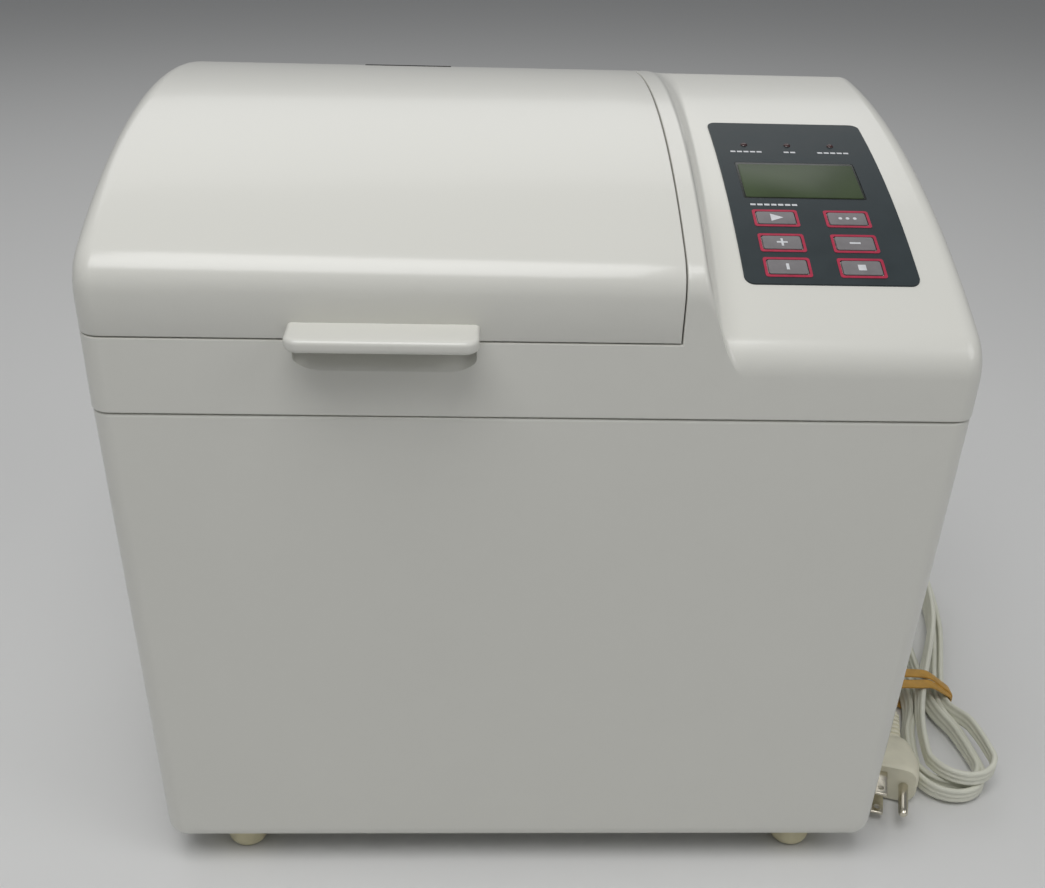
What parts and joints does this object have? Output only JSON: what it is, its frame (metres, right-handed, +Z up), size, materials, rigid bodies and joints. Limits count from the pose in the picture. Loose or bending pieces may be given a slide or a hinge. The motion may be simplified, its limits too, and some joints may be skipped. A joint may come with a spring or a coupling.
{
  "type": "bread machine",
  "caption": "Upright bread machine: tapered case, arched hinged lid with front ledge, sloping key panel, lift-out pan with kneading drive, and a mains cord folded in a band.",
  "frame": {"origin": "under the middle of the machine's own box (cord left out), on the surface that it stands on", "axes": "+Z up, +X to the right as seen from the front, +Y from the front towards the back"},
  "size_m": [0.439, 0.3497, 0.3333],
  "materials": {
    "white_shell": "satin white moulded plastic",
    "inner_metal": "bright rolled sheet",
    "steel": "bright",
    "blade_metal": "nickelled brass",
    "pan_coating": "dark non-stick coating",
    "element_sheath": "dull sheath",
    "panel_film": "slate grey printed film",
    "key_plastic": "grey",
    "lamp_lens": "dark tinted",
    "display": "olive liquid crystal",
    "display_lens": "clear",
    "dark_plastic": "black",
    "circuit_board": "green board",
    "motor_metal": "dark steel",
    "foot_rubber": "cream translucent rubber",
    "cord_vinyl": "white vinyl",
    "band_rubber": "tan rubber"
  },
  "bodies": {
    "machine": {"base_plate": "inner_metal", "base_screw_1": "steel", "base_screw_2": "steel", "base_screw_3": "steel", "base_screw_4": "steel", "chassis": "inner_metal", "control_board": "circuit_board", "control_label": "panel_film", "cord_band": "band_rubber", "cord_hank": "cord_vinyl", "cord_lead": "cord_vinyl", "display_lens": "display_lens", "display_panel": "display", "drive_bearing": "inner_metal", "drive_belt": "dark_plastic", "foot_front_left": "foot_rubber", "foot_front_right": "foot_rubber", "foot_rear_left": "foot_rubber", "foot_rear_right": "foot_rubber", "heating_element": "element_sheath", "hinge_pin_left": "steel", "hinge_pin_right": "steel", "lamp_1": "lamp_lens", "lamp_2": "lamp_lens", "lamp_3": "lamp_lens", "lower_case": "white_shell", "motor": "motor_metal", "oven_chamber": "inner_metal", "pan_socket": "inner_metal", "plug_blade_lower": "blade_metal", "plug_blade_upper": "blade_metal", "plug_body": "cord_vinyl", "plug_ground_pin": "blade_metal", "power_board": "circuit_board", "strain_relief": "cord_vinyl", "temperature_sensor": "steel", "transformer": "motor_metal", "upper_housing": "white_shell"},
    "lid": {"lid_shell": "white_shell", "lid_liner": "inner_metal", "steam_vent": "dark_plastic"},
    "pan": {"bread_pan": "pan_coating", "shaft_seal": "dark_plastic"},
    "bail": {"pan_handle": "steel"},
    "paddle": {"kneading_paddle": "pan_coating", "pan_shaft": "steel"},
    "drive": {"drive_shaft": "steel", "drive_pulley": "dark_plastic"},
    "rotor": {"motor_rotor": "steel"},
    "start_button": {"start_key": "key_plastic"},
    "stop_button": {"stop_key": "key_plastic"},
    "hour_button": {"hour_key": "key_plastic"},
    "minute_button": {"minute_key": "key_plastic"},
    "light_button": {"light_key": "key_plastic"},
    "select_button": {"select_key": "key_plastic"}
  },
  "joints": [
    {"name": "lid_hinge", "type": "hinge", "parent": "machine", "child": "lid", "pos_m": [-0.059, 0.11825, 0.278], "axis": [-1, 0, 0], "range_deg": [0, 90]},
    {"name": "pan_lift", "type": "slide", "parent": "machine", "child": "pan", "axis": [0, 0, 1], "range_m": [0, 0.05]},
    {"name": "bail_swing", "type": "hinge", "parent": "pan", "child": "bail", "pos_m": [-0.059, 0.00825, 0.238], "axis": [-1, 0, 0], "range_deg": [0, 216.4]},
    {"name": "drive_spin", "type": "hinge", "parent": "machine", "child": "drive", "pos_m": [-0.059, 0.00825, 0.0822], "axis": [0, 0, 1], "continuous": true},
    {"name": "paddle_spin", "type": "hinge", "parent": "pan", "child": "paddle", "pos_m": [-0.059, 0.00825, 0.1018], "axis": [0, 0, 1], "continuous": true},
    {"name": "motor_spin", "type": "hinge", "parent": "machine", "child": "rotor", "pos_m": [0.1, 0.00825, 0.0461], "axis": [0, 0, 1], "continuous": true},
    {"name": "start_press", "type": "slide", "parent": "machine", "child": "start_button", "axis": [0, 0.371, -0.9286], "range_m": [0, 0.0008], "stiffness_N_per_m": 400},
    {"name": "stop_press", "type": "slide", "parent": "machine", "child": "stop_button", "axis": [0, 0.371, -0.9286], "range_m": [0, 0.0008], "stiffness_N_per_m": 400},
    {"name": "hour_press", "type": "slide", "parent": "machine", "child": "hour_button", "axis": [0, 0.3431, -0.9393], "range_m": [0, 0.0008], "stiffness_N_per_m": 400},
    {"name": "minute_press", "type": "slide", "parent": "machine", "child": "minute_button", "axis": [0, 0.3431, -0.9393], "range_m": [0, 0.0008], "stiffness_N_per_m": 400},
    {"name": "light_press", "type": "slide", "parent": "machine", "child": "light_button", "axis": [0, 0.3124, -0.95], "range_m": [0, 0.0008], "stiffness_N_per_m": 400},
    {"name": "select_press", "type": "slide", "parent": "machine", "child": "select_button", "axis": [0, 0.3124, -0.95], "range_m": [0, 0.0008], "stiffness_N_per_m": 400}
  ],
  "couplings": [
    {"joint": "paddle_spin", "follows": "drive_spin", "ratio": 1},
    {"joint": "motor_spin", "follows": "drive_spin", "ratio": 5.8}
  ]
}
